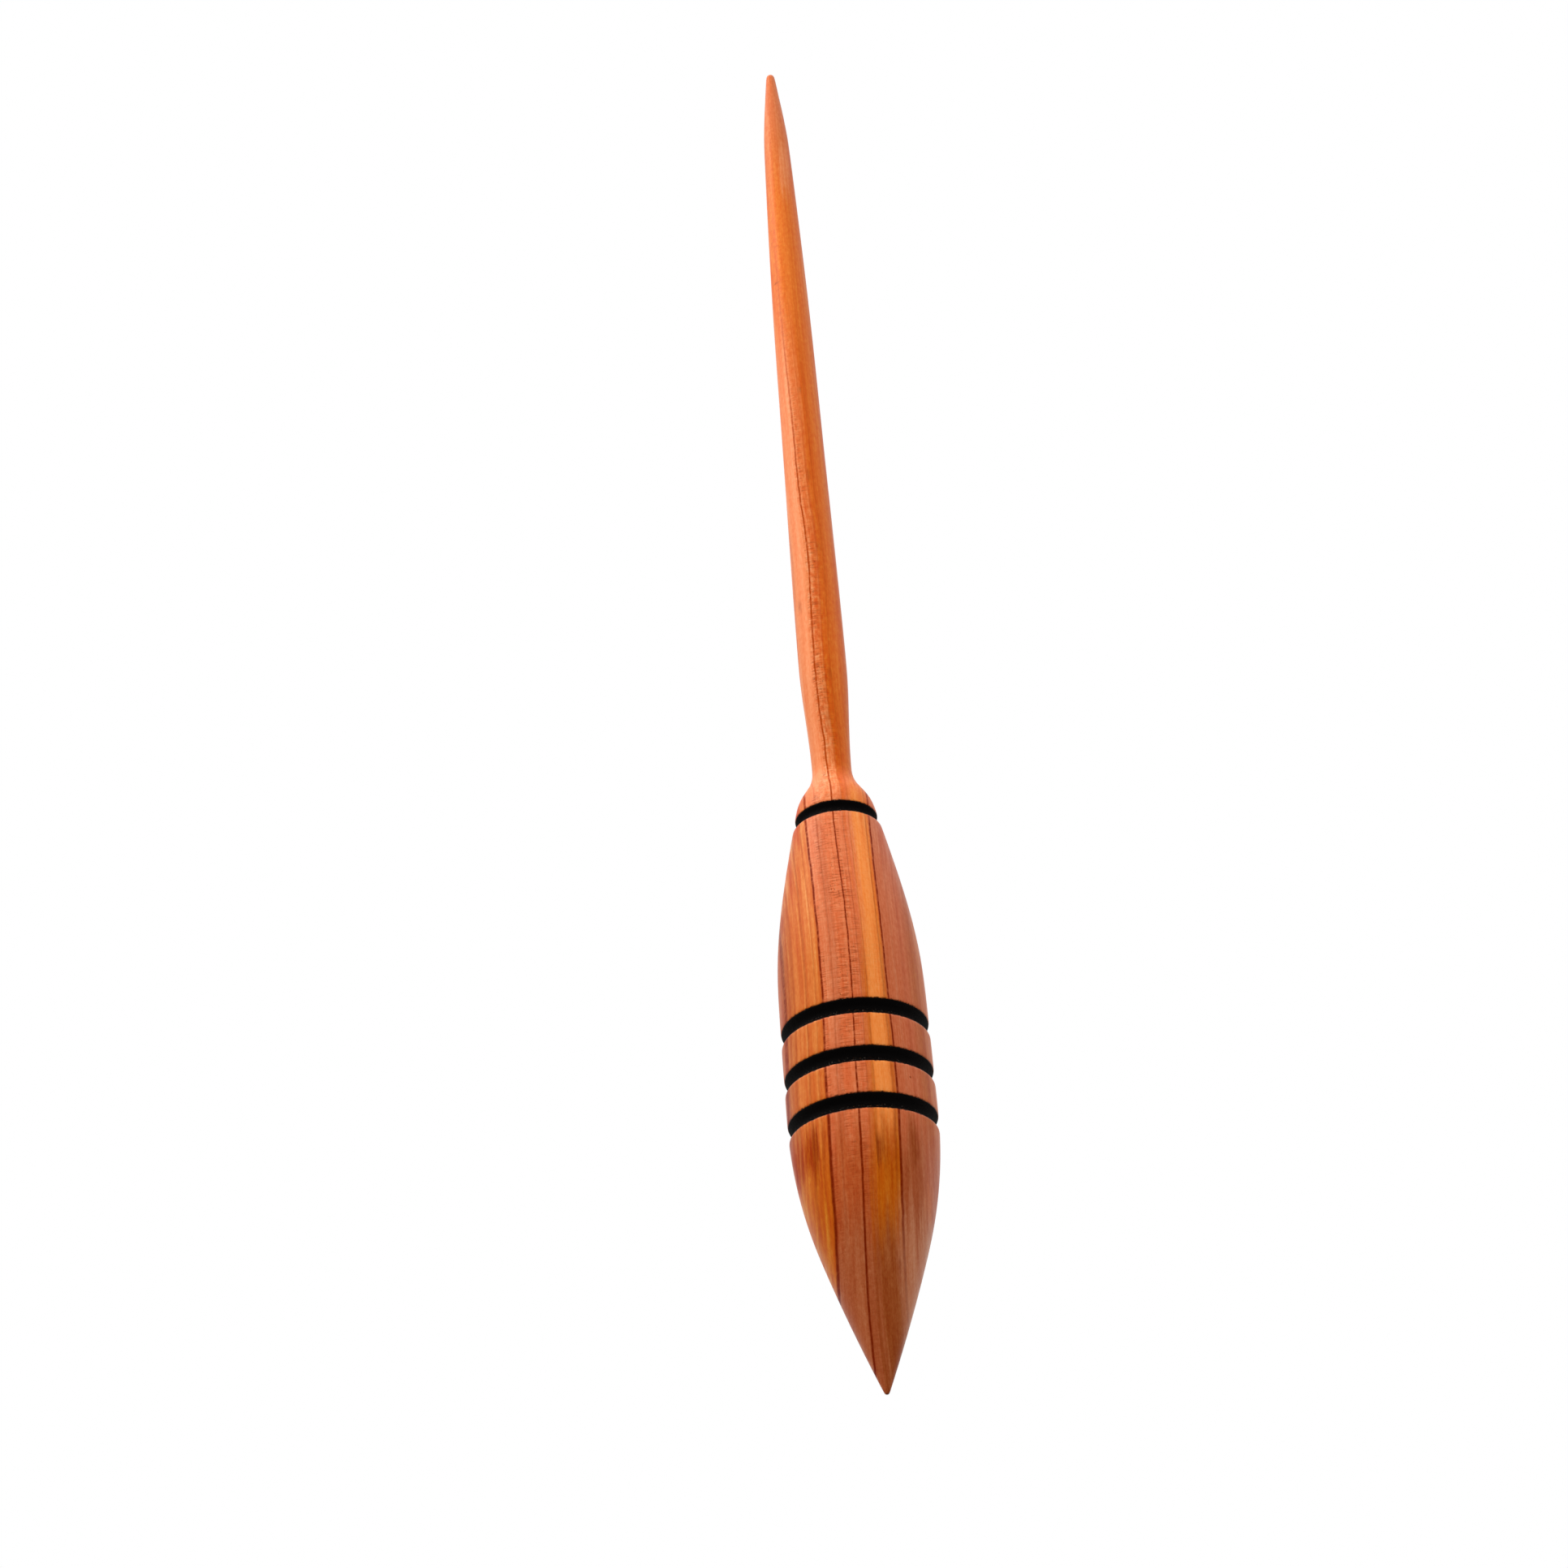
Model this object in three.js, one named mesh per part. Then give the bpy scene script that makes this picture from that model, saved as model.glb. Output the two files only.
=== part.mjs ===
// Support spindle: one stick of plum wood, turned between centres, with four lines burnt into its whorl.
// The axis it spins on is Z, the lower tip that spins in the bowl is z = 0, and every size is in millimetres.
import * as THREE from "three";

// Whorl: the heavy lower part, from its spinning tip up to the edge of its shoulder
const SPIN_TIP_RADIUS = 0.55; // rounding of the tip that spins in the bowl
const SPIN_TIP_FLARE = 0.404; // radius gained per millimetre of height, just above the tip
const CONE_LENGTH = 24.9; // nearly straight stretch above the tip's rounding
const CONE_TOP_DIAMETER = 19;
const CONE_TOP_FLARE = 0.317;
const SWEEP_LENGTH = 25.5; // rounded stretch from the cone up to the widest ring
const WIDEST_DIAMETER = 27;
const BELLY_LENGTH = 26.1; // nearly straight stretch that carries three of the lines
const BELLY_TOP_DIAMETER = 26.8;
const BELLY_TOP_FLARE = -0.011;
const BROW_LENGTH = 37.7; // drawn-in stretch from the belly up to the shoulder's edge
const SHOULDER_DIAMETER = 14.9;
const SHOULDER_FLARE = -0.21;

// Neck: the hollow curve from the shoulder's edge to the thinnest place above it
const OGEE_LENGTH = 4.1; // from the shoulder's edge to the steepest place of the curve
const OGEE_DIAMETER = 10.7;
const OGEE_FLARE = -0.72;
const NECK_RISE = 5; // from the steepest place to the thinnest
const NECK_DIAMETER = 7.5;

// Shaft: it swells out of the neck, thins slowly, and ends in a quick taper
const SWELL_LENGTH = 24.2;
const SWELL_DIAMETER = 9.4;
const LOWER_SHAFT_LENGTH = 67.2; // from the swell's thickest place to halfway up the shaft
const MID_SHAFT_DIAMETER = 8.2;
const MID_SHAFT_FLARE = -0.004;
const UPPER_SHAFT_LENGTH = 67.3;
const CROWN_DIAMETER = 5.55; // where the quick taper starts
const CROWN_FLARE = -0.029;
const TAPER_LENGTH = 22.1;
const FLICK_TIP_DIAMETER = 1.9; // just under the rounding of the upper tip
const FLICK_TIP_FLARE = -0.091;

// Burnt lines: grooves pressed into the spinning wood, charred black by the rubbing of a wire
const LINE_WIDTH = 2.9; // the charred width on the belly
const LINE_DEPTH = 1.25;
const SHOULDER_LINE_WIDTH = 2.6;
const SHOULDER_LINE_DEPTH = 1;
const LIP_WIDTH = 0.4; // bare wood that rolls over into each side of a groove
const CHAR_THICKNESS = 0.35; // at the bottom of a groove, thinning to nothing at the char's edges
const LOWER_LINE_HEIGHT = -2.2; // each line's middle, above the widest ring
const MIDDLE_LINE_HEIGHT = 6.8;
const UPPER_LINE_HEIGHT = 16.2;
const SHOULDER_LINE_DROP = 3.3; // the shoulder line's middle, below the shoulder's edge

// Fineness of the model: facets round the axis, and steps along each stretch
const FACETS_ROUND = 48;
const TIP_STEPS = 3;
const CONE_STEPS = 5;
const SWEEP_STEPS = 7;
const BELLY_STEPS = 6;
const BROW_STEPS = 8;
const OGEE_STEPS = 3;
const NECK_STEPS = 5;
const SWELL_STEPS = 6;
const LOWER_SHAFT_STEPS = 4;
const UPPER_SHAFT_STEPS = 5;
const TAPER_STEPS = 6;
const BURN_STEPS = 6; // across the charred width of a groove
const LIP_STEPS = 2;

// A tip is the end of a ball that the next stretch leaves smoothly: how far round it goes for a flare.
function tipAngle(flare) {
  return Math.atan2(1, Math.abs(flare));
}

// Rings that the turner sizes with callipers, from the spinning tip upwards.
function turnedRings() {
  const spin = tipAngle(SPIN_TIP_FLARE);
  const rings = [
    {
      height: SPIN_TIP_RADIUS * (1 - Math.cos(spin)),
      radius: SPIN_TIP_RADIUS * Math.sin(spin),
      flare: SPIN_TIP_FLARE,
    },
  ];
  const add = (name, length, diameter, flare, steps) => {
    const height = rings[rings.length - 1].height + length;
    rings.push({ name, height, radius: diameter / 2, flare, steps });
  };
  add("coneTop", CONE_LENGTH, CONE_TOP_DIAMETER, CONE_TOP_FLARE, CONE_STEPS);
  add("widest", SWEEP_LENGTH, WIDEST_DIAMETER, 0, SWEEP_STEPS);
  add("bellyTop", BELLY_LENGTH, BELLY_TOP_DIAMETER, BELLY_TOP_FLARE, BELLY_STEPS);
  add("shoulder", BROW_LENGTH, SHOULDER_DIAMETER, SHOULDER_FLARE, BROW_STEPS);
  add("ogee", OGEE_LENGTH, OGEE_DIAMETER, OGEE_FLARE, OGEE_STEPS);
  add("neck", NECK_RISE, NECK_DIAMETER, 0, NECK_STEPS);
  add("swell", SWELL_LENGTH, SWELL_DIAMETER, 0, SWELL_STEPS);
  add("midShaft", LOWER_SHAFT_LENGTH, MID_SHAFT_DIAMETER, MID_SHAFT_FLARE, LOWER_SHAFT_STEPS);
  add("crown", UPPER_SHAFT_LENGTH, CROWN_DIAMETER, CROWN_FLARE, UPPER_SHAFT_STEPS);
  add("flick", TAPER_LENGTH, FLICK_TIP_DIAMETER, FLICK_TIP_FLARE, TAPER_STEPS);
  return rings;
}

const RINGS = turnedRings();

function ringHeight(name) {
  return RINGS.find((ring) => ring.name === name).height;
}

// Radius of the smooth turned surface, before any line is burnt into it: a cubic from ring to ring.
function turnedRadius(height) {
  let next = RINGS.findIndex((ring) => ring.height > height);
  if (next < 0) next = RINGS.length - 1;
  const low = RINGS[Math.max(next - 1, 0)];
  const high = RINGS[Math.max(next, 1)];
  const length = high.height - low.height;
  const t = (height - low.height) / length;
  return (
    (1 + 2 * t) * (1 - t) ** 2 * low.radius +
    t * (1 - t) ** 2 * length * low.flare +
    t * t * (3 - 2 * t) * high.radius +
    t * t * (t - 1) * length * high.flare
  );
}

// The four lines, with the height of each one's middle.
const LINES = [
  {
    name: "lower_burnt_line",
    middle: ringHeight("widest") + LOWER_LINE_HEIGHT,
    width: LINE_WIDTH,
    depth: LINE_DEPTH,
  },
  {
    name: "middle_burnt_line",
    middle: ringHeight("widest") + MIDDLE_LINE_HEIGHT,
    width: LINE_WIDTH,
    depth: LINE_DEPTH,
  },
  {
    name: "upper_burnt_line",
    middle: ringHeight("widest") + UPPER_LINE_HEIGHT,
    width: LINE_WIDTH,
    depth: LINE_DEPTH,
  },
  {
    name: "shoulder_burnt_line",
    middle: ringHeight("shoulder") - SHOULDER_LINE_DROP,
    width: SHOULDER_LINE_WIDTH,
    depth: SHOULDER_LINE_DEPTH,
  },
];

// A point on the groove's finished surface, off the line's middle: a rounded bottom and rolled lips.
function groovePoint(line, offset) {
  const halfOpening = line.width / 2 + LIP_WIDTH;
  const dip = line.depth * Math.cos(((Math.PI / 2) * offset) / halfOpening) ** 2;
  const height = line.middle + offset;
  return new THREE.Vector2(turnedRadius(height) - dip, height);
}

// The same place on the sound wood under the char, which is thickest at the middle.
function soundPoint(line, offset) {
  const point = groovePoint(line, offset);
  const share = (2 * offset) / line.width;
  point.x -= CHAR_THICKNESS * (1 - share * share);
  return point;
}

// Even steps from one value to another, both ends included.
function evenSteps(from, to, steps) {
  return Array.from({ length: steps + 1 }, (_, i) => from + ((to - from) * i) / steps);
}

// Points across the charred width, from its lower edge to its upper one.
function burnOffsets(line) {
  return evenSteps(-line.width / 2, line.width / 2, BURN_STEPS);
}

// The groove as cut into the sound wood, from lip to lip.
function grooveOutline(line) {
  const edge = line.width / 2;
  const lower = evenSteps(-edge - LIP_WIDTH, -edge, LIP_STEPS).slice(0, -1);
  const upper = evenSteps(edge, edge + LIP_WIDTH, LIP_STEPS).slice(1);
  return [
    ...lower.map((offset) => groovePoint(line, offset)),
    ...burnOffsets(line).map((offset) => soundPoint(line, offset)),
    ...upper.map((offset) => groovePoint(line, offset)),
  ];
}

// True where a height lies on or close beside a groove, which has points of its own.
function besideGroove(height) {
  return LINES.some((line) => Math.abs(height - line.middle) < line.width / 2 + 2 * LIP_WIDTH);
}

// The rounded end of the stick: points on a ball from its pole to where the next stretch starts.
function roundedEnd(poleHeight, ballRadius, angle, direction) {
  return evenSteps(0, angle, TIP_STEPS)
    .slice(0, -1)
    .map((turn) => {
      const rise = direction * ballRadius * (1 - Math.cos(turn));
      return new THREE.Vector2(ballRadius * Math.sin(turn), poleHeight + rise);
    });
}

// The whole outline of the stick, from the pole of the spinning tip to the pole of the upper one.
function stickOutline() {
  const heights = [RINGS[0].height];
  for (let i = 1; i < RINGS.length; i++) {
    heights.push(...evenSteps(RINGS[i - 1].height, RINGS[i].height, RINGS[i].steps).slice(1));
  }
  const turned = heights
    .filter((height) => !besideGroove(height))
    .map((height) => new THREE.Vector2(turnedRadius(height), height));
  const points = [...turned, ...LINES.flatMap(grooveOutline)].sort((a, b) => a.y - b.y);

  const spinEnd = roundedEnd(0, SPIN_TIP_RADIUS, tipAngle(SPIN_TIP_FLARE), 1);
  const flick = RINGS[RINGS.length - 1];
  const flickAngle = tipAngle(FLICK_TIP_FLARE);
  const flickBall = flick.radius / Math.sin(flickAngle);
  const flickPole = flick.height + flickBall * (1 - Math.cos(flickAngle));
  const flickEnd = roundedEnd(flickPole, flickBall, flickAngle, -1).reverse();
  return [...spinEnd, ...points, ...flickEnd];
}

// The char of one line: from its lower edge up the face that shows, and back down the sound wood.
function charOutline(line) {
  const offsets = burnOffsets(line);
  const face = offsets.map((offset) => groovePoint(line, offset));
  const back = offsets
    .slice(1, -1)
    .reverse()
    .map((offset) => soundPoint(line, offset));
  const edges = [soundPoint(line, offsets[0]), soundPoint(line, offsets[offsets.length - 1])];
  return [edges[0], ...face.slice(1, -1), edges[1], ...back, edges[0].clone()];
}

// Turns an outline of radius and height round the Z axis.
function turn(name, outline, material) {
  const geometry = new THREE.LatheGeometry(outline, FACETS_ROUND);
  geometry.rotateX(Math.PI / 2);
  const mesh = new THREE.Mesh(geometry, material);
  mesh.name = name;
  return mesh;
}

const oiledPlum = new THREE.MeshStandardMaterial({ color: "#c8703c", roughness: 0.45, metalness: 0 });
const burntWood = new THREE.MeshStandardMaterial({ color: "#0b0806", roughness: 0.7, metalness: 0 });

const spindle = new THREE.Group();
spindle.add(turn("turned_stick", stickOutline(), oiledPlum));
for (const line of LINES) {
  spindle.add(turn(line.name, charOutline(line), burntWood));
}

export default spindle;
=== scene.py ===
import math

import bpy
from mathutils import Matrix, Vector


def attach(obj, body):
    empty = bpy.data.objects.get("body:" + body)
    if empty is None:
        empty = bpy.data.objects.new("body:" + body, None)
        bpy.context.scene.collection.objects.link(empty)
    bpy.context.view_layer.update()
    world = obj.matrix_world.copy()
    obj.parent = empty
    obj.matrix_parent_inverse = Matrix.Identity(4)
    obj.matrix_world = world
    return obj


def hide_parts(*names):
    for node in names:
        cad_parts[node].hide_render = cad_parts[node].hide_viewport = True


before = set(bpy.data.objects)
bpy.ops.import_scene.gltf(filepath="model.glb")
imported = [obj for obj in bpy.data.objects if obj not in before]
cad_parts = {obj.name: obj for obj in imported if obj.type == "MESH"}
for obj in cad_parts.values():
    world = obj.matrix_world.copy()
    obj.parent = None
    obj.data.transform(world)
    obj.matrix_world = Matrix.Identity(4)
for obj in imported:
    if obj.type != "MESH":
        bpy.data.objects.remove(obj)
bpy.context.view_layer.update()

# Camera. The photograph looks up along the spindle from the side of its spinning tip, with the
# shaft leaning back by 31 degrees and a little to the left. The part stands upright on Z here, so
# the camera is below the level of its tip and looks up instead.
EYE = (-0.00929, -0.47676, -0.16489)
LOOK_UP = math.radians(31.0)
ROLL = math.radians(-4.498)
SENSOR_WIDTH = 36
FOCAL_LENGTH = 67.08  # millimetres, for a sensor of that width
CLOSEST_VIEW = 0.01

bpy.ops.object.camera_add()
camera = bpy.context.object
camera.name = "photograph_camera"
turned = Matrix.Rotation(math.pi / 2 + LOOK_UP, 4, "X") @ Matrix.Rotation(ROLL, 4, "Z")
camera.matrix_world = Matrix.Translation(EYE) @ turned
camera.data.sensor_width = SENSOR_WIDTH
camera.data.lens = FOCAL_LENGTH
camera.data.clip_start = CLOSEST_VIEW
bpy.context.scene.camera = camera


# Studio. A pale floor under the spinning tip, and a plain white surround. The camera of the
# photograph is below the floor's level, so the floor shows from above only.
def linear(colour):
    """The linear value of an sRGB colour such as '#c8703c', with an alpha of 1."""
    parts = [int(colour[i:i + 2], 16) / 255 for i in (1, 3, 5)]
    return [c / 12.92 if c <= 0.04045 else ((c + 0.055) / 1.055) ** 2.4 for c in parts] + [1.0]


def add_node(tree, kind, inputs=(), stops=(), **settings):
    """Adds a shader node with its settings and a ramp's stops, and fills or links its inputs."""
    node = tree.nodes.new("ShaderNode" + kind)
    for name, value in settings.items():
        setattr(node, name, value)
    for socket, value in (inputs if isinstance(inputs, dict) else dict(enumerate(inputs))).items():
        if isinstance(value, bpy.types.Node):
            value = value.outputs[0]
        if isinstance(value, bpy.types.NodeSocket):
            tree.links.new(value, node.inputs[socket])
        else:
            node.inputs[socket].default_value = value
    for _ in stops[2:]:
        node.color_ramp.elements.new(0.5)
    for i, (place, colour) in enumerate(stops):
        node.color_ramp.elements[i].position = place
        node.color_ramp.elements[i].color = linear(colour)
    return node


def seen_share(tree):
    """1 where the camera sees a thing, also by reflection or through glass, and 0 where it only lights."""
    rays = add_node(tree, "LightPath").outputs
    seen = rays["Is Camera Ray"]
    for kind in ("Is Glossy Ray", "Is Transmission Ray"):
        seen = add_node(tree, "Math", (seen, rays[kind]), operation="MAXIMUM")
    return seen


FLOOR_SIZE = 12.0
FLOOR_COLOUR = "#e9e7e3"
FLOOR_GLOW = 0.12  # lifts the floor in the picture towards the white surround, and lights nothing
FLOOR_BOUNCE = "#7d7a75"  # what the floor throws back at the wood
WHITE = "#ffffff"
AMBIENT = 0.5  # strength at which the white surround lights the wood; in the picture it is 1
SOFT_LIGHTS = (  # name, degrees round from the camera's side, degrees up, and strength
    ("key_light", -50, 48, 2.3),
    ("fill_light", 45, 42, 1.4),
)
SOFT_WIDTH = math.radians(90)  # each is as wide as a window wall
STRIP_PLACE = (-0.33, -0.12, 0.48)  # a small soft box beside the shaft, which gives it a pale sheen
STRIP_AIM = (0, 0, 0.2)
STRIP_SIZE = (0.12, 0.28)
STRIP_POWER = 0.95

bpy.ops.object.select_all(action="DESELECT")
bpy.ops.mesh.primitive_plane_add(size=FLOOR_SIZE)
floor = bpy.context.object
floor.name = "floor"
matt_floor = bpy.data.materials.new("matt_pale_floor")
matt_floor.use_nodes = True
tree = matt_floor.node_tree
tree.nodes.clear()
paint = add_node(tree, "BsdfDiffuse", {"Color": linear(FLOOR_COLOUR)})
glow = add_node(tree, "Emission", {"Strength": FLOOR_GLOW})
shown = add_node(tree, "AddShader", (paint, glow))
bounce = add_node(tree, "BsdfDiffuse", {"Color": linear(FLOOR_BOUNCE)})
upper_side = add_node(tree, "MixShader", (seen_share(tree), bounce, shown))
clear = add_node(tree, "BsdfTransparent")
side = add_node(tree, "NewGeometry").outputs
both = add_node(tree, "MixShader", (side["Backfacing"], upper_side, clear))
add_node(tree, "OutputMaterial", {"Surface": both})
floor.data.materials.append(matt_floor)

world = bpy.data.worlds.new("white_surround")
world.use_nodes = True
bpy.context.scene.world = world
tree = world.node_tree
tree.nodes.clear()
strength = add_node(tree, "MapRange", {"Value": seen_share(tree), "To Min": AMBIENT, "To Max": 1.0})
surround = add_node(tree, "Background", {"Color": linear(WHITE), "Strength": strength})
add_node(tree, "OutputWorld", {"Surface": surround})

for name, turn, lift, strength in SOFT_LIGHTS:
    turn, lift = math.radians(turn), math.radians(lift)
    source = Vector((math.sin(turn) * math.cos(lift), -math.cos(turn) * math.cos(lift), math.sin(lift)))
    bpy.ops.object.light_add(type="SUN", rotation=source.to_track_quat("Z", "Y").to_euler())
    lamp = bpy.context.object
    lamp.name = name
    lamp.data.energy = strength
    lamp.data.angle = SOFT_WIDTH

away = Vector(STRIP_PLACE) - Vector(STRIP_AIM)
aim = away.to_track_quat("Z", "Y").to_euler()
bpy.ops.object.light_add(type="AREA", location=STRIP_PLACE, rotation=aim)
strip = bpy.context.object
strip.name = "strip_light"
strip.data.shape = "RECTANGLE"
strip.data.size, strip.data.size_y = STRIP_SIZE
strip.data.energy = STRIP_POWER

bpy.context.scene.view_settings.view_transform = "Standard"


# Turned stick. Whorl, neck and shaft are one length of plum wood, turned between centres and
# sanded, then rubbed with oil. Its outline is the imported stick's own, spun round the Z axis.
SPIN_STEPS = 96
PLACES = 7  # decimals of a metre to which an outline is read
SAME_POINT = 1e-7  # metres within which the points of an outline are one
SEAM = 1e-6  # metres within which a seam or a pole is welded
ON_RING = 2e-6  # metres within which a point lies on a ring
SEED_SIZE = 0.001  # metres, of the plane that is merged into an outline's first vertex


def outline_of(node):
    """Radius and height in metres of a turned CAD node's rings, read where it meets the XZ plane."""
    points = {
        (round(v.co.x, PLACES), round(v.co.z, PLACES))
        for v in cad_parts[node].data.vertices
        if abs(v.co.y) < SAME_POINT and v.co.x >= 0
    }
    return sorted(points, key=lambda point: (point[1], point[0]))


def spun_piece(name, outline, closed, steps):
    """Extrudes an outline from one vertex, spins it round Z, and welds its seam and poles."""
    bpy.ops.object.select_all(action="DESELECT")
    bpy.ops.mesh.primitive_plane_add(size=SEED_SIZE)
    piece = bpy.context.object
    piece.name = name
    bpy.ops.object.mode_set(mode="EDIT")
    bpy.ops.mesh.select_mode(type="VERT")
    bpy.ops.mesh.merge(type="CENTER")
    radius, height = outline[0]
    bpy.ops.transform.translate(value=(radius, 0, height))
    for (r0, z0), (r1, z1) in zip(outline, outline[1:] + (outline[:1] if closed else [])):
        bpy.ops.mesh.extrude_region_move(TRANSFORM_OT_translate={"value": (r1 - r0, 0, z1 - z0)})
    bpy.ops.mesh.select_all(action="SELECT")
    bpy.ops.mesh.remove_doubles(threshold=SAME_POINT)
    bpy.ops.mesh.spin(steps=steps, angle=2 * math.pi, center=(0, 0, 0), axis=(0, 0, 1))
    bpy.ops.mesh.select_all(action="SELECT")
    bpy.ops.mesh.remove_doubles(threshold=SEAM)
    bpy.ops.mesh.normals_make_consistent(inside=False)
    bpy.ops.object.mode_set(mode="OBJECT")
    return piece


def crease_rings(piece, rings):
    """Keeps sharp the rings of a piece that lie at these radii and heights."""
    bpy.ops.object.mode_set(mode="EDIT")
    bpy.ops.mesh.select_mode(type="EDGE")
    bpy.ops.mesh.select_all(action="DESELECT")
    bpy.ops.object.mode_set(mode="OBJECT")
    on_ring = [
        any(abs(v.co.z - z) < ON_RING and abs(math.hypot(v.co.x, v.co.y) - r) < ON_RING for r, z in rings)
        for v in piece.data.vertices
    ]
    for edge in piece.data.edges:
        edge.select = all(on_ring[i] for i in edge.vertices)
    bpy.ops.object.mode_set(mode="EDIT")
    bpy.ops.transform.edge_crease(value=1.0)
    bpy.ops.object.mode_set(mode="OBJECT")


def smooth(piece):
    """Subdivides a piece once, with the modifier applied, and shades it smooth."""
    modifier = piece.modifiers.new("subdivision", "SUBSURF")
    modifier.levels = modifier.render_levels = 1
    bpy.ops.object.modifier_apply(modifier=modifier.name)
    bpy.ops.object.shade_smooth()


LINES = ("lower_burnt_line", "middle_burnt_line", "upper_burnt_line", "shoulder_burnt_line")
char_edges = {line: (outline_of(line)[0], outline_of(line)[-1]) for line in LINES}

stick_outline = outline_of("turned_stick")
stick = spun_piece("turned_plum_stick", stick_outline, closed=False, steps=SPIN_STEPS)
crease_rings(stick, [edge for pair in char_edges.values() for edge in pair])
smooth(stick)
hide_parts("turned_stick")
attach(stick, "root")

# Oiled plum wood: orange-brown heartwood with thin dark growth lines 5 to 7 mm apart, pinkish and
# golden wood between them, ray flecks across the grain where they lie in the surface, and a soft
# satin gloss from the oil. The rings run straight through the stick, so each side shows its own cut.
PER_METRE = 1000  # millimetres, in which all its patterns are measured
SHARE, UNDER, OVER = 0, 6, 7  # a Mix node's sockets for colours: how much, over what, and of what
MIXED = 2  # the socket with its result

plum = bpy.data.materials.new("oiled_plum_wood")
plum.use_nodes = True
tree = plum.node_tree
tree.nodes.clear()
place = add_node(tree, "TexCoord").outputs["Object"]
mm = add_node(tree, "VectorMath", (place, (PER_METRE,) * 3), operation="MULTIPLY")
across, deep, height = add_node(tree, "SeparateXYZ", (mm,)).outputs

# The grain's own coordinate: the distance from the middle growth line, with the bow of the grain,
# the roundness of the rings and the uneven width of the ring on each side taken off.
GRAIN_BOW = (  # height and sideways place of the middle growth line
    (0, -1.6), (8, -1.94), (16, -2.25), (25, -2.42), (33, -2.52), (42, -2.55), (53, -2.5), (62, -2.2),
    (73, -1.85), (86, -1.7), (106, -1.48), (120, -1.02), (127, -1.12), (136, -1.58), (146, -1.75),
    (157, -1.55), (170, -1.26), (177, -1.38), (188, -1.85), (208, -2.0), (226, -2.3), (306, -2.6),
)
RIGHT_RING, LEFT_RING = 6.8, -4.85  # where the next growth line lies on each side
RIGHT_SPREAD = (  # height, and how much wider than usual the right ring is
    (0, 0), (20, 0), (40, 0.28), (53, 0.54), (62, 0.29), (73, -0.18), (90, -0.25), (106, 0.15), (306, 0),
)
LEFT_SPREAD = (  # the same for the left ring
    (0, -0.3), (27, -0.3), (35, 0.05), (44, 0.15), (62, 0.15), (84, 0.2), (106, 0), (306, 0),
)
CURVE_TOP, CURVE_SIDE = 306.0, 4.0  # a curve node's reach up the stick, and to each side
RING_ROUND = 0.01  # the growth rings are arcs of 50 mm radius

climb = add_node(tree, "Math", (height, CURVE_TOP), operation="DIVIDE")
drifts = []
for path in (GRAIN_BOW, RIGHT_SPREAD, LEFT_SPREAD):
    bend = add_node(tree, "FloatCurve", {"Value": climb})
    curve = bend.mapping.curves[0]
    spots = [(z / CURVE_TOP, 0.5 + x / (2 * CURVE_SIDE)) for z, x in path]
    for spot in spots[1:-1]:
        curve.points.new(*spot)
    curve.points[0].location = spots[0]
    curve.points[len(spots) - 1].location = spots[-1]
    bend.mapping.update()
    drifts.append(add_node(tree, "Math", (bend, 2 * CURVE_SIDE, -CURVE_SIDE), operation="MULTIPLY_ADD"))
bow, right_spread, left_spread = drifts
rounding = add_node(tree, "Math", (deep, deep), operation="MULTIPLY")
straight = add_node(tree, "Math", (rounding, -RING_ROUND, across), operation="MULTIPLY_ADD")
grain = add_node(tree, "Math", (straight, bow), operation="SUBTRACT")
for ring, inward, spread in ((RIGHT_RING, -1.0, right_spread), (LEFT_RING, 1.0, left_spread)):
    outward = add_node(tree, "MapRange", {"Value": grain, "From Max": ring, "To Max": inward})
    grain = add_node(tree, "Math", (outward, spread, grain), operation="MULTIPLY_ADD")

# Noise drawn out along the grain. Some of it is also wanted as a swing to both sides of nothing, and
# the ripple makes the growth lines waver.
PATTERNS = {  # steps per millimetre across the rings, into the wood and up the stick; finer octaves
    "ripple": ((0.3, 0.3, 0.3), 2),
    "patches": ((0.3, 0.3, 0.09), 2),
    "broad fibres": ((0.9, 0.12, 0.014), 3),
    "fine fibres": ((3.0, 0.3, 0.05), 3),
    "tongues": ((1.6, 0.15, 0.1), 3),
    "rays": ((0.5, 1.2, 4.2), 2),
    "pores": ((4.5, 4.5, 1.2), 1),
    "mottle": ((1.6, 0.8, 0.9), 3),
    "breaks": ((0.5, 0.5, 1.1), 3),
    "licks": ((1.8, 1.8, 1.8), 3),
}
NOISE_LOW, NOISE_HIGH = 0.3, 0.7  # nearly all of a noise lies between these
MEAN = 0.5  # what it comes to on average
RIPPLE = 0.3  # how far the growth lines waver

along = add_node(tree, "CombineXYZ", (grain, deep, height))
pattern = {}
swing = {}
for name, (steps, octaves) in PATTERNS.items():
    spread = add_node(tree, "VectorMath", (along, steps), operation="MULTIPLY")
    pattern[name] = add_node(tree, "TexNoise", {"Vector": spread, "Scale": 1.0, "Detail": octaves})
for name in ("ripple", "broad fibres", "fine fibres", "mottle", "pores"):
    swing[name] = add_node(tree, "Math", (pattern[name], MEAN), operation="SUBTRACT")
grain = add_node(tree, "Math", (swing["ripple"], RIPPLE, grain), operation="MULTIPLY_ADD")

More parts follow.
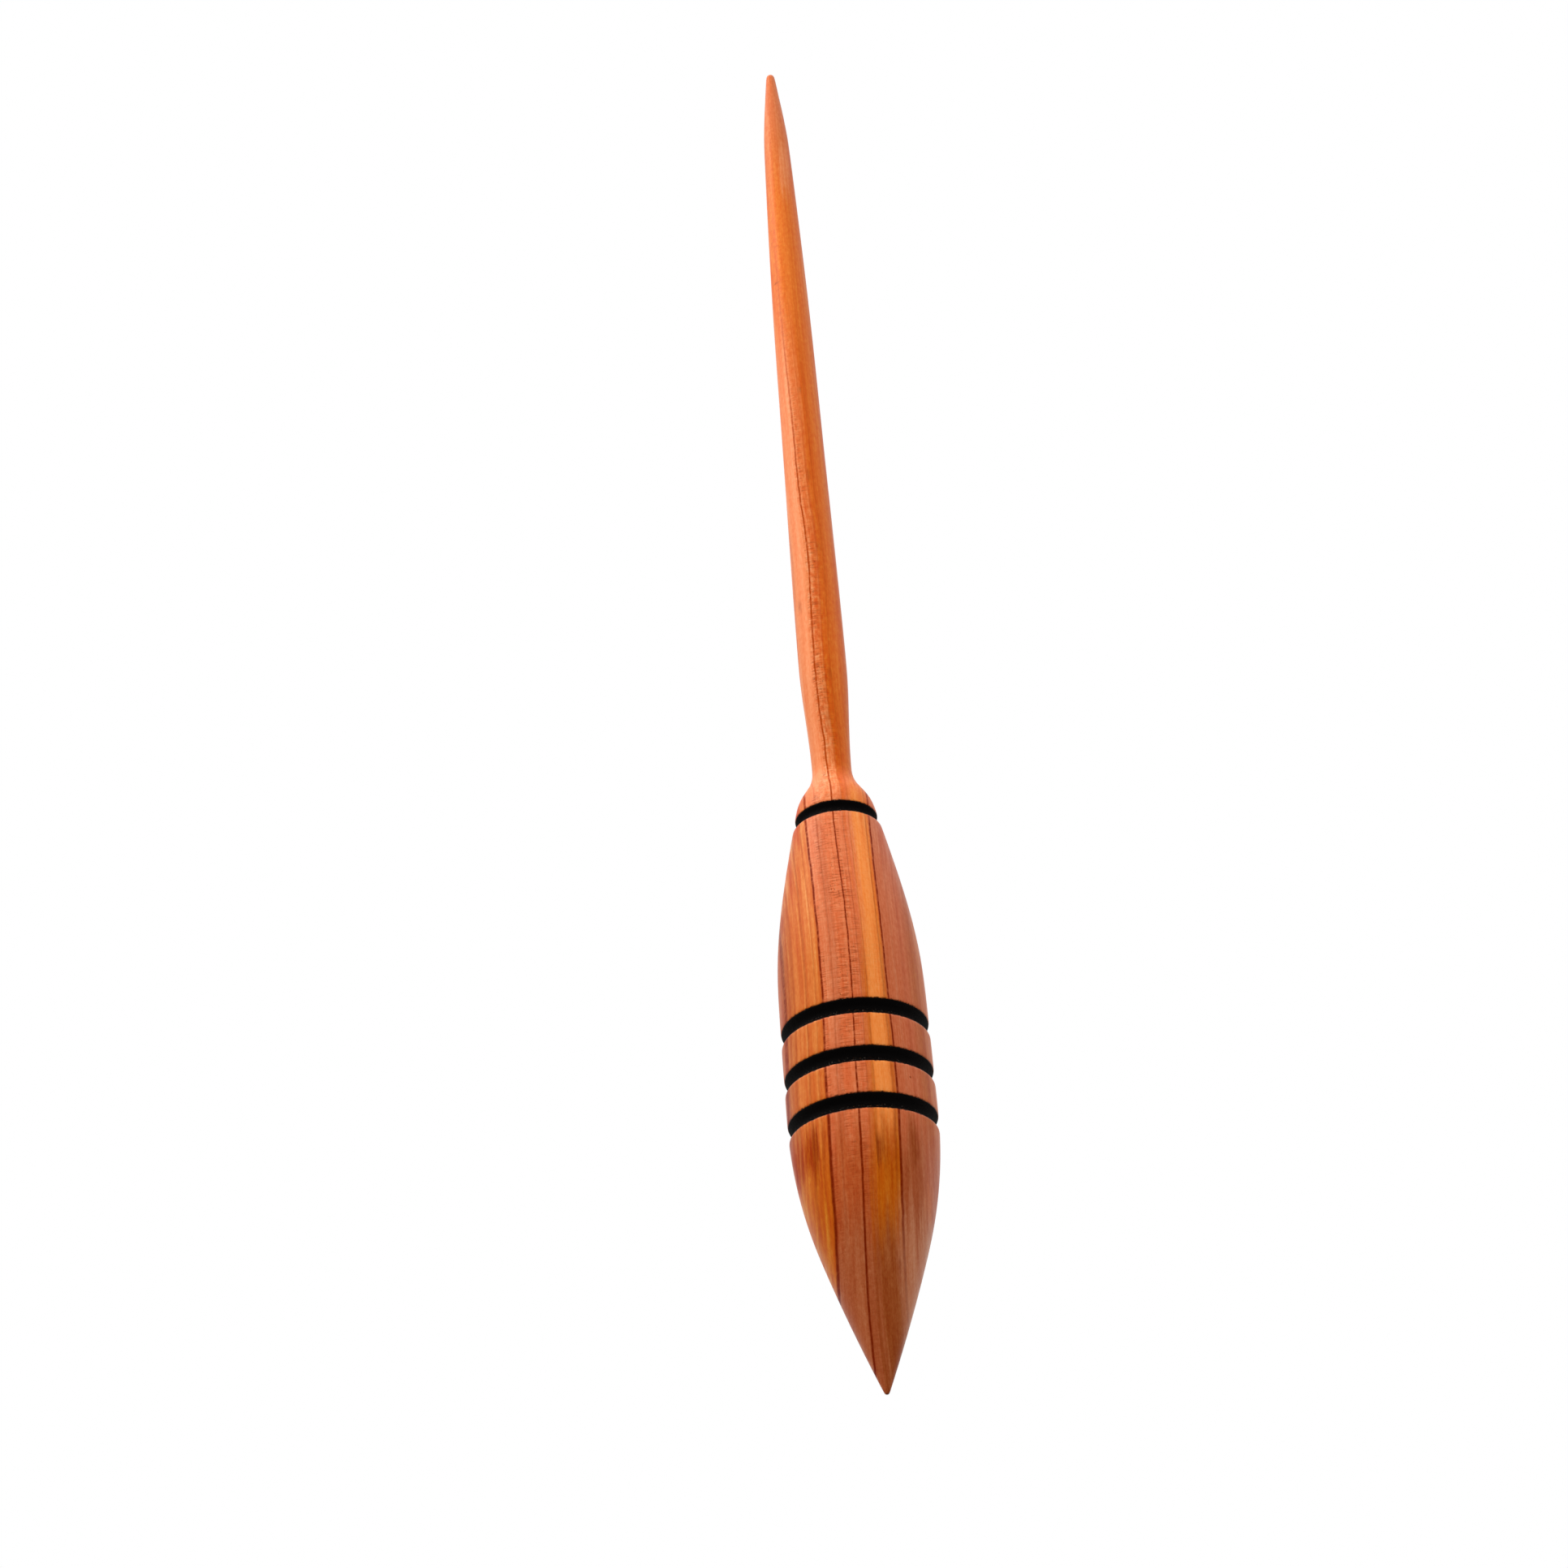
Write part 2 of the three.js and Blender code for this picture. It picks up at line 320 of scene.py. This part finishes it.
# Bands of colour between the growth lines, different on the tip, the cone, the belly, the brow and
# the shaft. Each band is given by its distance from the middle growth line, and its colour.
HONEY, AMBER, RUST = "#e6863f", "#c36322", "#aa5018"
ROSE, CLAY = "#cc693e", "#bc603a"
COPPER, RUSSET, UMBER, TAWNY = "#c2620f", "#b04f24", "#a3502a", "#b66342"
SIENNA, CHESTNUT, FAWN = "#aa5832", "#9b4c22", "#c27a56"
PEACH, EMBER, TANGERINE, SALMON = "#e08350", "#cb5a12", "#d56a1c", "#c96936"
TIP_BANDS = (
    (-7, COPPER), (-5.1, COPPER), (-4.7, SIENNA), (1.6, SIENNA), (2.8, CHESTNUT), (5.0, CHESTNUT),
    (6.9, FAWN),
)
CONE_BANDS = (
    (-12, COPPER), (-5.1, COPPER), (-4.7, RUSSET), (1.2, RUSSET), (3, COPPER), (6.5, COPPER),
    (7, UMBER), (10.6, UMBER), (12.6, TAWNY),
)
WHORL_LEFT = (
    (-14, RUST), (-10, RUST), (-8.8, AMBER), (-5.1, AMBER), (-4.7, ROSE), (-2.6, CLAY), (-1.6, ROSE),
)
WHORL_RIGHT = ((6.9, CLAY), (11, CLAY), (13, RUST), (16, AMBER))
BELLY_BANDS = (
    *WHORL_LEFT, (1.6, ROSE), (2.6, AMBER), (3.8, HONEY), (5.6, HONEY), (6.3, AMBER), *WHORL_RIGHT,
)
BROW_BANDS = (*WHORL_LEFT, (2.4, ROSE), (3.9, HONEY), (5.4, HONEY), (6.3, TANGERINE), *WHORL_RIGHT)
SHAFT_BANDS = (
    (-6, EMBER), (-2.6, PEACH), (-0.6, PEACH), (2.1, EMBER), (3.0, EMBER), (3.9, TANGERINE),
    (8, EMBER),
)
UPPER_SHAFT, CROWN = TANGERINE, SALMON  # these two are even all round
CHANGES = (  # heights between which one colouring passes into the next, from the tip up
    (21, 34), (37, 48), (72, 86), (104, 122), (210, 250), (262, 296),
)
RAGGED = 20.0  # how far the fibres carry one colouring into the next
FRAY = 4.0  # how far they carry one band into the next
FRAY_LIMITS = ((-4.8, -2.5), (6.2, 4.2))  # from each side, where the fraying starts and is full

level = add_node(tree, "Math", (swing["broad fibres"], RAGGED, height), operation="MULTIPLY_ADD")
fray = swing["broad fibres"]
for start, full in FRAY_LIMITS:
    between = add_node(tree, "MapRange", {"Value": grain, "From Min": start, "From Max": full})
    fray = add_node(tree, "Math", (fray, between), operation="MULTIPLY")
frayed = add_node(tree, "Math", (fray, FRAY, grain), operation="MULTIPLY_ADD")
ramps = []
for bands in (TIP_BANDS, CONE_BANDS, BELLY_BANDS, BROW_BANDS, SHAFT_BANDS):
    low, high = bands[0][0], bands[-1][0]
    band = add_node(tree, "MapRange", {"Value": frayed, "From Min": low, "From Max": high})
    stops = [((distance - low) / (high - low), colour) for distance, colour in bands]
    ramps.append(add_node(tree, "ValToRGB", (band,), stops=stops))
wood = ramps[0]
for (low, high), above in zip(CHANGES, (*ramps[1:], linear(UPPER_SHAFT), linear(CROWN))):
    rise = {"Value": level, "From Min": low, "From Max": high}
    rise = add_node(tree, "MapRange", rise, interpolation_type="SMOOTHSTEP")
    mix = {SHARE: rise, UNDER: wood, OVER: above}
    wood = add_node(tree, "Mix", mix, data_type="RGBA").outputs[MIXED]

# Stains: oil and heartwood colour gathered in a few places, and drawn out along the grain in tongues.
# The pale one low on the cone's right is a painted sheen, and the one near the crown a paler tone;
# neither dulls the gloss.
OCHRE, SADDLE, BRICK, PALE_TONE_AND_SHEEN = "#a23c00", "#8c3c12", "#7c2c08", "#e08a58"
STAINS = (  # across and height of the middle, half width, half height, strength and colour
    (-12.2, 41.0, 1.6, 6.0, 1.0, OCHRE), (-9.6, 40.8, 2.6, 5.0, 0.9, OCHRE),
    (4.0, 39.0, 2.0, 9.0, 0.5, OCHRE), (-8.5, 41.5, 0.7, 4.5, 0.4, BRICK),
    (1.8, 41.0, 0.3, 4.6, 0.6, BRICK), (2.6, 40.0, 0.8, 4.5, 0.5, BRICK),
    (8.3, 41.5, 1.0, 6.0, 0.75, SADDLE), (6.9, 37.0, 0.5, 6.0, 0.35, SADDLE),
    # the pale stain on the cone's right, 10.4 across and 31 high, is a painted sheen
    (4.05, 22.0, 0.3, 9.0, 0.4, BRICK), (10.4, 31.0, 1.4, 6.0, 0.35, PALE_TONE_AND_SHEEN),
    (8.7, 53.6, 0.24, 0.24, 0.9, BRICK), (0.45, 191.0, 0.5, 1.6, 0.35, SADDLE),
    (0.3, 213.0, 0.5, 1.4, 0.5, SADDLE), (1.2, 173.0, 0.5, 1.4, 0.3, SADDLE),
    (1.2, 143.0, 0.5, 1.6, 0.3, SADDLE), (0.1, 133.0, 0.5, 2.0, 0.3, SADDLE),
    (-2.6, 243.0, 1.0, 0.35, 0.4, BRICK), (-3.5, 160.0, 0.5, 1.8, 0.25, BRICK),
    (1.3, 275.0, 1.2, 9.0, 0.6, PALE_TONE_AND_SHEEN),
)
STAIN_DEPTH = 2  # a stain goes in by this many times its half width
STAIN_FULL, STAIN_END = 0.2, 1.25  # shares of its size at which it starts to fade, and has gone
TONGUE = 0.5  # how far its edge strays, as a share of its size

tongue = add_node(tree, "MapRange", {
    "Value": pattern["tongues"], "From Min": NOISE_LOW, "From Max": NOISE_HIGH,
    "To Min": -TONGUE, "To Max": TONGUE,
})
soaked = 0.0
for x, z, half_width, half_height, strength, colour in STAINS:
    radius = min(stick_outline, key=lambda ring: abs(ring[1] * PER_METRE - z))[0] * PER_METRE
    y = -math.sqrt(max(radius ** 2 - x * x, 0))
    off = add_node(tree, "VectorMath", (mm, (x, y, z)), operation="SUBTRACT")
    scale = (1 / half_width, 1 / (STAIN_DEPTH * half_width), 1 / half_height)
    sized = add_node(tree, "VectorMath", (off, scale), operation="MULTIPLY")
    far = add_node(tree, "VectorMath", (sized,), operation="LENGTH").outputs["Value"]
    edge = add_node(tree, "Math", (far, tongue), operation="ADD")
    stain = add_node(tree, "MapRange", {
        "Value": edge, "From Min": STAIN_FULL, "From Max": STAIN_END, "To Min": strength, "To Max": 0.0,
    }, interpolation_type="SMOOTHSTEP")
    mix = {SHARE: stain, UNDER: wood, OVER: linear(colour)}
    wood = add_node(tree, "Mix", mix, data_type="RGBA").outputs[MIXED]
    # the pale stains, the painted sheen among them, leave the gloss undulled
    if colour != PALE_TONE_AND_SHEEN:
        soaked = add_node(tree, "Math", (soaked, stain), operation="MAXIMUM")

# Where the rays lie in the surface: in a strip from the left growth line to the golden wood, and on
# the shaft from the middle growth line. They show most on the belly, in patches and columns.
STRIP_SHIFT = {"From Min": 110.0, "From Max": 122.0, "To Max": -4.3}

shift = add_node(tree, "MapRange", {"Value": height, **STRIP_SHIFT})
from_left = add_node(tree, "Math", (grain, shift), operation="ADD")
RAY_LIMITS = {  # what each goes by, where the rays start and are full, and what is left of them outside
    "left": (from_left, -5.1, -4.6, 0.05),
    "right": (grain, 2.6, 0.5, 0.1),
    "below": (height, 24.0, 72.0, 0.3),
    "above": (height, 220.0, 160.0, 0.3),
    "patches": (pattern["patches"], 0.38, 0.58, 0.4),
    "columns": (pattern["broad fibres"], 0.42, 0.52, 0.3),
}
limit = {}
rayed = 1.0
for name, (value, start, full, least) in RAY_LIMITS.items():
    limit[name] = add_node(tree, "MapRange", {
        "Value": value, "From Min": start, "From Max": full, "To Min": least,
    })
    rayed = add_node(tree, "Math", (rayed, limit[name]), operation="MULTIPLY")

# Density: 1 for even wood. Denser wood is darker and redder, and more open wood is paler. The fibres
# show most in the golden wood at the left, and mottling on the shoulder and up the shaft.
FIBRES = (("broad fibres", 1.0), ("fine fibres", 0.9))
STREAKS = {"From Min": -4.4, "From Max": -6.0, "To Min": 0.45, "To Max": 1.1}  # in the golden wood
MOTTLING = {"From Min": 104.0, "From Max": 117.0, "To Max": 0.9}  # from the shoulder up
LEAST_MOTTLING = 0.3
SPECKLE = 0.3

density = 1.0
streaky = add_node(tree, "MapRange", {"Value": grain, **STREAKS})
for name, strength in FIBRES:
    fibre = add_node(tree, "Math", (swing[name], streaky), operation="MULTIPLY")
    density = add_node(tree, "Math", (fibre, strength, density), operation="MULTIPLY_ADD")
mottled = add_node(tree, "MapRange", {"Value": height, **MOTTLING})
for side in ("left", "right"):
    mottled = add_node(tree, "Math", (mottled, limit[side]), operation="MULTIPLY")
mottled = add_node(tree, "Math", (mottled, limit["above"], LEAST_MOTTLING), operation="MULTIPLY_ADD")
density = add_node(tree, "Math", (swing["mottle"], mottled, density), operation="MULTIPLY_ADD")
density = add_node(tree, "Math", (swing["pores"], SPECKLE, density), operation="MULTIPLY_ADD")

# Ray flecks: dashes across the grain, 1 to 2 mm long and 0.2 mm high, some pale and some dark, with
# pores as short dark ticks among them.
PALE_FLECKS = {"From Min": 0.54, "From Max": 0.66, "To Max": -0.2}
DARK_FLECKS = (  # noise, where a fleck starts and is full, and how dark it gets
    ("rays", 0.48, 0.38, 0.6), ("pores", 0.36, 0.26, 0.8),
)
FLECK_COLOUR = "#762c0c"

pale = add_node(tree, "MapRange", {"Value": pattern["rays"], **PALE_FLECKS})
density = add_node(tree, "Math", (pale, rayed, density), operation="MULTIPLY_ADD")
wood = add_node(tree, "Gamma", (wood, density))
for name, start, full, most in DARK_FLECKS:
    fleck = {"Value": pattern[name], "From Min": start, "From Max": full, "To Max": most}
    fleck = add_node(tree, "MapRange", fleck)
    fleck = add_node(tree, "Math", (fleck, rayed), operation="MULTIPLY")
    mix = {SHARE: fleck, UNDER: wood, OVER: linear(FLECK_COLOUR)}
    wood = add_node(tree, "Mix", mix, data_type="RGBA").outputs[MIXED]

# Growth lines: thin dark latewood. They are broad and whole on the cone, fine and beaded on the belly
# and the brow, and redder and softer on the shaft, where they fade out towards the top.
LINE_COLOUR, SHAFT_LINE_COLOUR = "#741c00", "#a23a00"
GROWTH_LINES = (  # distance from the middle one, width, darkness, and heights between which it appears
    (-10.5, 0.60, 0.8, 43, 50), (LEFT_RING, 0.46, 1.0, -2, -1), (0.0, 0.36, 1.0, -2, -1),
    (RIGHT_RING, 0.46, 1.0, 6, 33), (-9.1, 0.40, 0.22, 30, 46), (-7.3, 0.40, 0.3, 20, 40),
    (-5.9, 0.30, 0.2, 20, 40), (-3.1, 0.40, 0.28, 20, 40), (1.65, 0.30, 0.28, 20, 60),
    (2.8, 0.30, 0.28, 20, 60), (6.0, 0.40, 0.35, 20, 40), (8.8, 0.50, 0.12, 20, 60),
    (10.5, 0.50, 0.12, 20, 60),
)
LINE_CORE, LINE_FLANK = 0.15, 0.85  # shares of the width at which a line starts to fade, and has gone
CONE_END, BELLY_START = 44.0, 60.0  # heights between which broad, whole lines become fine and beaded
FINE = 1.4  # how many times finer than their width the lines are on the belly
SHAFT_SOFTENING = -0.22  # what their fineness loses on the shaft
WHOLE = 0.9  # how whole they are on the cone at the least
BEADING = {"From Min": 0.36, "From Max": 0.5, "To Min": 0.65}
SHAFT_LOOK = {"From Min": 104.0, "From Max": 122.0}
FADING = {"From Min": 260.0, "From Max": 190.0}

on_shaft = add_node(tree, "MapRange", {"Value": height, **SHAFT_LOOK})
fine = add_node(tree, "MapRange", {
    "Value": height, "From Min": CONE_END, "From Max": BELLY_START, "To Min": 1.0, "To Max": FINE,
})
fine = add_node(tree, "Math", (on_shaft, SHAFT_SOFTENING, fine), operation="MULTIPLY_ADD")
whole = add_node(tree, "MapRange", {
    "Value": height, "From Min": BELLY_START, "From Max": CONE_END, "To Max": WHOLE,
})
beaded = add_node(tree, "MapRange", {"Value": pattern["breaks"], **BEADING})
beaded = add_node(tree, "Math", (beaded, whole), operation="MAXIMUM")
fading = add_node(tree, "MapRange", {"Value": height, **FADING})
drawn = 0.0
for middle, width, darkness, start, full in GROWTH_LINES:
    offset = add_node(tree, "Math", (grain, middle), operation="SUBTRACT")
    away = add_node(tree, "Math", (offset,), operation="ABSOLUTE")
    away = add_node(tree, "Math", (away, fine), operation="MULTIPLY")
    line = add_node(tree, "MapRange", {
        "Value": away, "From Min": LINE_CORE * width, "From Max": LINE_FLANK * width,
        "To Min": darkness, "To Max": 0.0,
    }, interpolation_type="SMOOTHSTEP")
    shown = add_node(tree, "MapRange", {"Value": height, "From Min": start, "From Max": full})
    line = add_node(tree, "Math", (line, shown), operation="MULTIPLY")
    drawn = add_node(tree, "Math", (drawn, line), operation="MAXIMUM")
for share in (beaded, fading):
    drawn = add_node(tree, "Math", (drawn, share), operation="MULTIPLY")
mix = {SHARE: on_shaft, UNDER: linear(LINE_COLOUR), OVER: linear(SHAFT_LINE_COLOUR)}
latewood = add_node(tree, "Mix", mix, data_type="RGBA").outputs[MIXED]
mix = {SHARE: drawn, UNDER: wood, OVER: latewood}
wood = add_node(tree, "Mix", mix, data_type="RGBA").outputs[MIXED]

# Scorching: beside each burnt line the wood is browned for a hair's breadth, in licks along its edge.
SCORCH_COLOUR = "#1c0a03"
SCORCH_START, SCORCH_WIDTH = 0.28, 0.25
LICK = 0.6  # how far the licks reach
FAR_OFF = 99.0

nearest = FAR_OFF
for (_, low), (_, high) in char_edges.values():
    middle, half = (low + high) * PER_METRE / 2, (high - low) * PER_METRE / 2
    offset = add_node(tree, "Math", (height, middle), operation="SUBTRACT")
    away = add_node(tree, "Math", (offset,), operation="ABSOLUTE")
    beyond = add_node(tree, "Math", (away, half), operation="SUBTRACT")
    nearest = add_node(tree, "Math", (nearest, beyond), operation="MINIMUM")
edge = add_node(tree, "Math", (pattern["licks"], LICK, nearest), operation="MULTIPLY_ADD")
scorch = add_node(tree, "MapRange", {
    "Value": edge, "From Min": SCORCH_START, "From Max": SCORCH_START + SCORCH_WIDTH,
    "To Min": 1.0, "To Max": 0.0,
})
mix = {SHARE: scorch, UNDER: wood, OVER: linear(SCORCH_COLOUR)}
wood = add_node(tree, "Mix", mix, data_type="RGBA").outputs[MIXED]

# Satin oil: the gloss is a little broken by the fibres and the flecks, which are felt as relief too.
# The growth lines and the stains have soaked up the oil and shine less.
SMOOTHEST, ROUGHEST = 0.34, 0.46
OIL_SHINE, SOAKED_SHINE = 0.2, 0.04
OIL_IOR = 1.47
OIL_TINT = "#ff8c44"
FLECK_RELIEF = 0.4
FLECK_HEIGHT = 0.0001  # metres

gloss = add_node(tree, "MapRange", {
    "Value": pattern["fine fibres"], "From Min": NOISE_LOW, "From Max": NOISE_HIGH,
    "To Min": SMOOTHEST, "To Max": ROUGHEST,
})
dull = add_node(tree, "Math", (soaked, drawn), operation="MAXIMUM")
shine = add_node(tree, "MapRange", {"Value": dull, "To Min": OIL_SHINE, "To Max": SOAKED_SHINE})
dents = add_node(tree, "Math", (pattern["rays"], rayed), operation="MULTIPLY")
relief = add_node(tree, "Bump", {"Height": dents, "Strength": FLECK_RELIEF, "Distance": FLECK_HEIGHT})
finish = add_node(tree, "BsdfPrincipled", {
    "Base Color": wood, "Roughness": gloss, "IOR": OIL_IOR, "Specular IOR Level": shine,
    "Specular Tint": linear(OIL_TINT), "Normal": relief,
})
add_node(tree, "OutputMaterial", {"Surface": finish})
stick.data.materials.append(plum)


# Burnt lines. A wire held against the spinning stick burns each groove, and leaves a brittle black
# lining of charred wood that thins to nothing at the groove's lips.
CHAR_SPIN_STEPS = 288
CRUST_HEIGHT = 0.00012  # metres, of the crust's grains
CRUST_GRAIN = 0.0005  # metres across
CRUST_OCTAVES = 2

# Charred wood: dull black with a crust of fine grains, and on the flank that faces up specks of brown
# unburnt wood and pale grey specks that are painted glints of light.
SOOT, PAINTED_GLINT, UNBURNT = "#020101", "#9a8d7e", "#4a2c16"
SPECKS = (  # noise steps per millimetre, where a speck starts and is full, and its colour
    # the pale grey specks are painted glints, the brown ones unburnt wood
    (4.5, 0.67, 0.76, PAINTED_GLINT), (2.2, 0.64, 0.76, UNBURNT),
)
SPECK_OCTAVES = 2.0
SPECKLED_SIDE = {"From Min": 0.25, "From Max": 0.75}  # how far a place faces up
CHAR_ROUGHNESS, CHAR_SHINE = 0.65, 0.02
CRUMB_SCALE, CRUMB_OCTAVES = 6.0, 3.0  # its steps are per millimetre too
CRUMB_RELIEF = 0.6
CRUMB_HEIGHT = 0.0001  # metres

charred = bpy.data.materials.new("charred_plum_wood")
charred.use_nodes = True
tree = charred.node_tree
tree.nodes.clear()
place = add_node(tree, "TexCoord").outputs["Object"]
mm = add_node(tree, "VectorMath", (place, (PER_METRE,) * 3), operation="MULTIPLY")
facing = add_node(tree, "SeparateXYZ", (add_node(tree, "NewGeometry").outputs["Normal"],))
up = add_node(tree, "MapRange", {"Value": facing.outputs["Z"], **SPECKLED_SIDE})
char = linear(SOOT)
# Painted glints and brown unburnt crumbs, shown only where the lining faces up.
for scale, start, full, colour in SPECKS:
    specks = add_node(tree, "TexNoise", {"Vector": mm, "Scale": scale, "Detail": SPECK_OCTAVES})
    speck = add_node(tree, "MapRange", {"Value": specks, "From Min": start, "From Max": full})
    shown = add_node(tree, "Math", (speck, up), operation="MULTIPLY")
    mix = {SHARE: shown, UNDER: char, OVER: linear(colour)}
    char = add_node(tree, "Mix", mix, data_type="RGBA").outputs[MIXED]
crumbs = add_node(tree, "TexNoise", {"Vector": mm, "Scale": CRUMB_SCALE, "Detail": CRUMB_OCTAVES})
relief = add_node(tree, "Bump", {"Height": crumbs, "Strength": CRUMB_RELIEF, "Distance": CRUMB_HEIGHT})
soot = add_node(tree, "BsdfPrincipled", {
    "Base Color": char, "Roughness": CHAR_ROUGHNESS, "Specular IOR Level": CHAR_SHINE, "Normal": relief,
})
add_node(tree, "OutputMaterial", {"Surface": soot})

crust = bpy.data.textures.new("char_crust", "CLOUDS")
crust.noise_scale = CRUST_GRAIN
crust.noise_depth = CRUST_OCTAVES

# Between its two edges a lining's outline has pairs of points: one on the sound wood behind the char,
# and one further out on the face that shows.
for line in LINES:
    low, *pairs, high = outline_of(line)
    back, face = pairs[0::2], pairs[1::2]
    outline = [low, *face, high, *reversed(back)]
    lining = spun_piece(f"charred_{line}", outline, closed=True, steps=CHAR_SPIN_STEPS)
    crease_rings(lining, char_edges[line])
    smooth(lining)
    grains = lining.vertex_groups.new(name="crust")
    middle, half = (low[1] + high[1]) / 2, (high[1] - low[1]) / 2
    for v in lining.data.vertices:
        grains.add([v.index], max(0.0, 1 - ((v.co.z - middle) / half) ** 2), "REPLACE")
    rough = lining.modifiers.new("crust", "DISPLACE")
    rough.texture = crust
    rough.texture_coords = "LOCAL"
    rough.vertex_group = "crust"
    rough.strength = CRUST_HEIGHT
    rough.mid_level = MEAN
    bpy.ops.object.modifier_apply(modifier=rough.name)
    lining.data.materials.append(charred)
    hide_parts(line)
    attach(lining, "root")
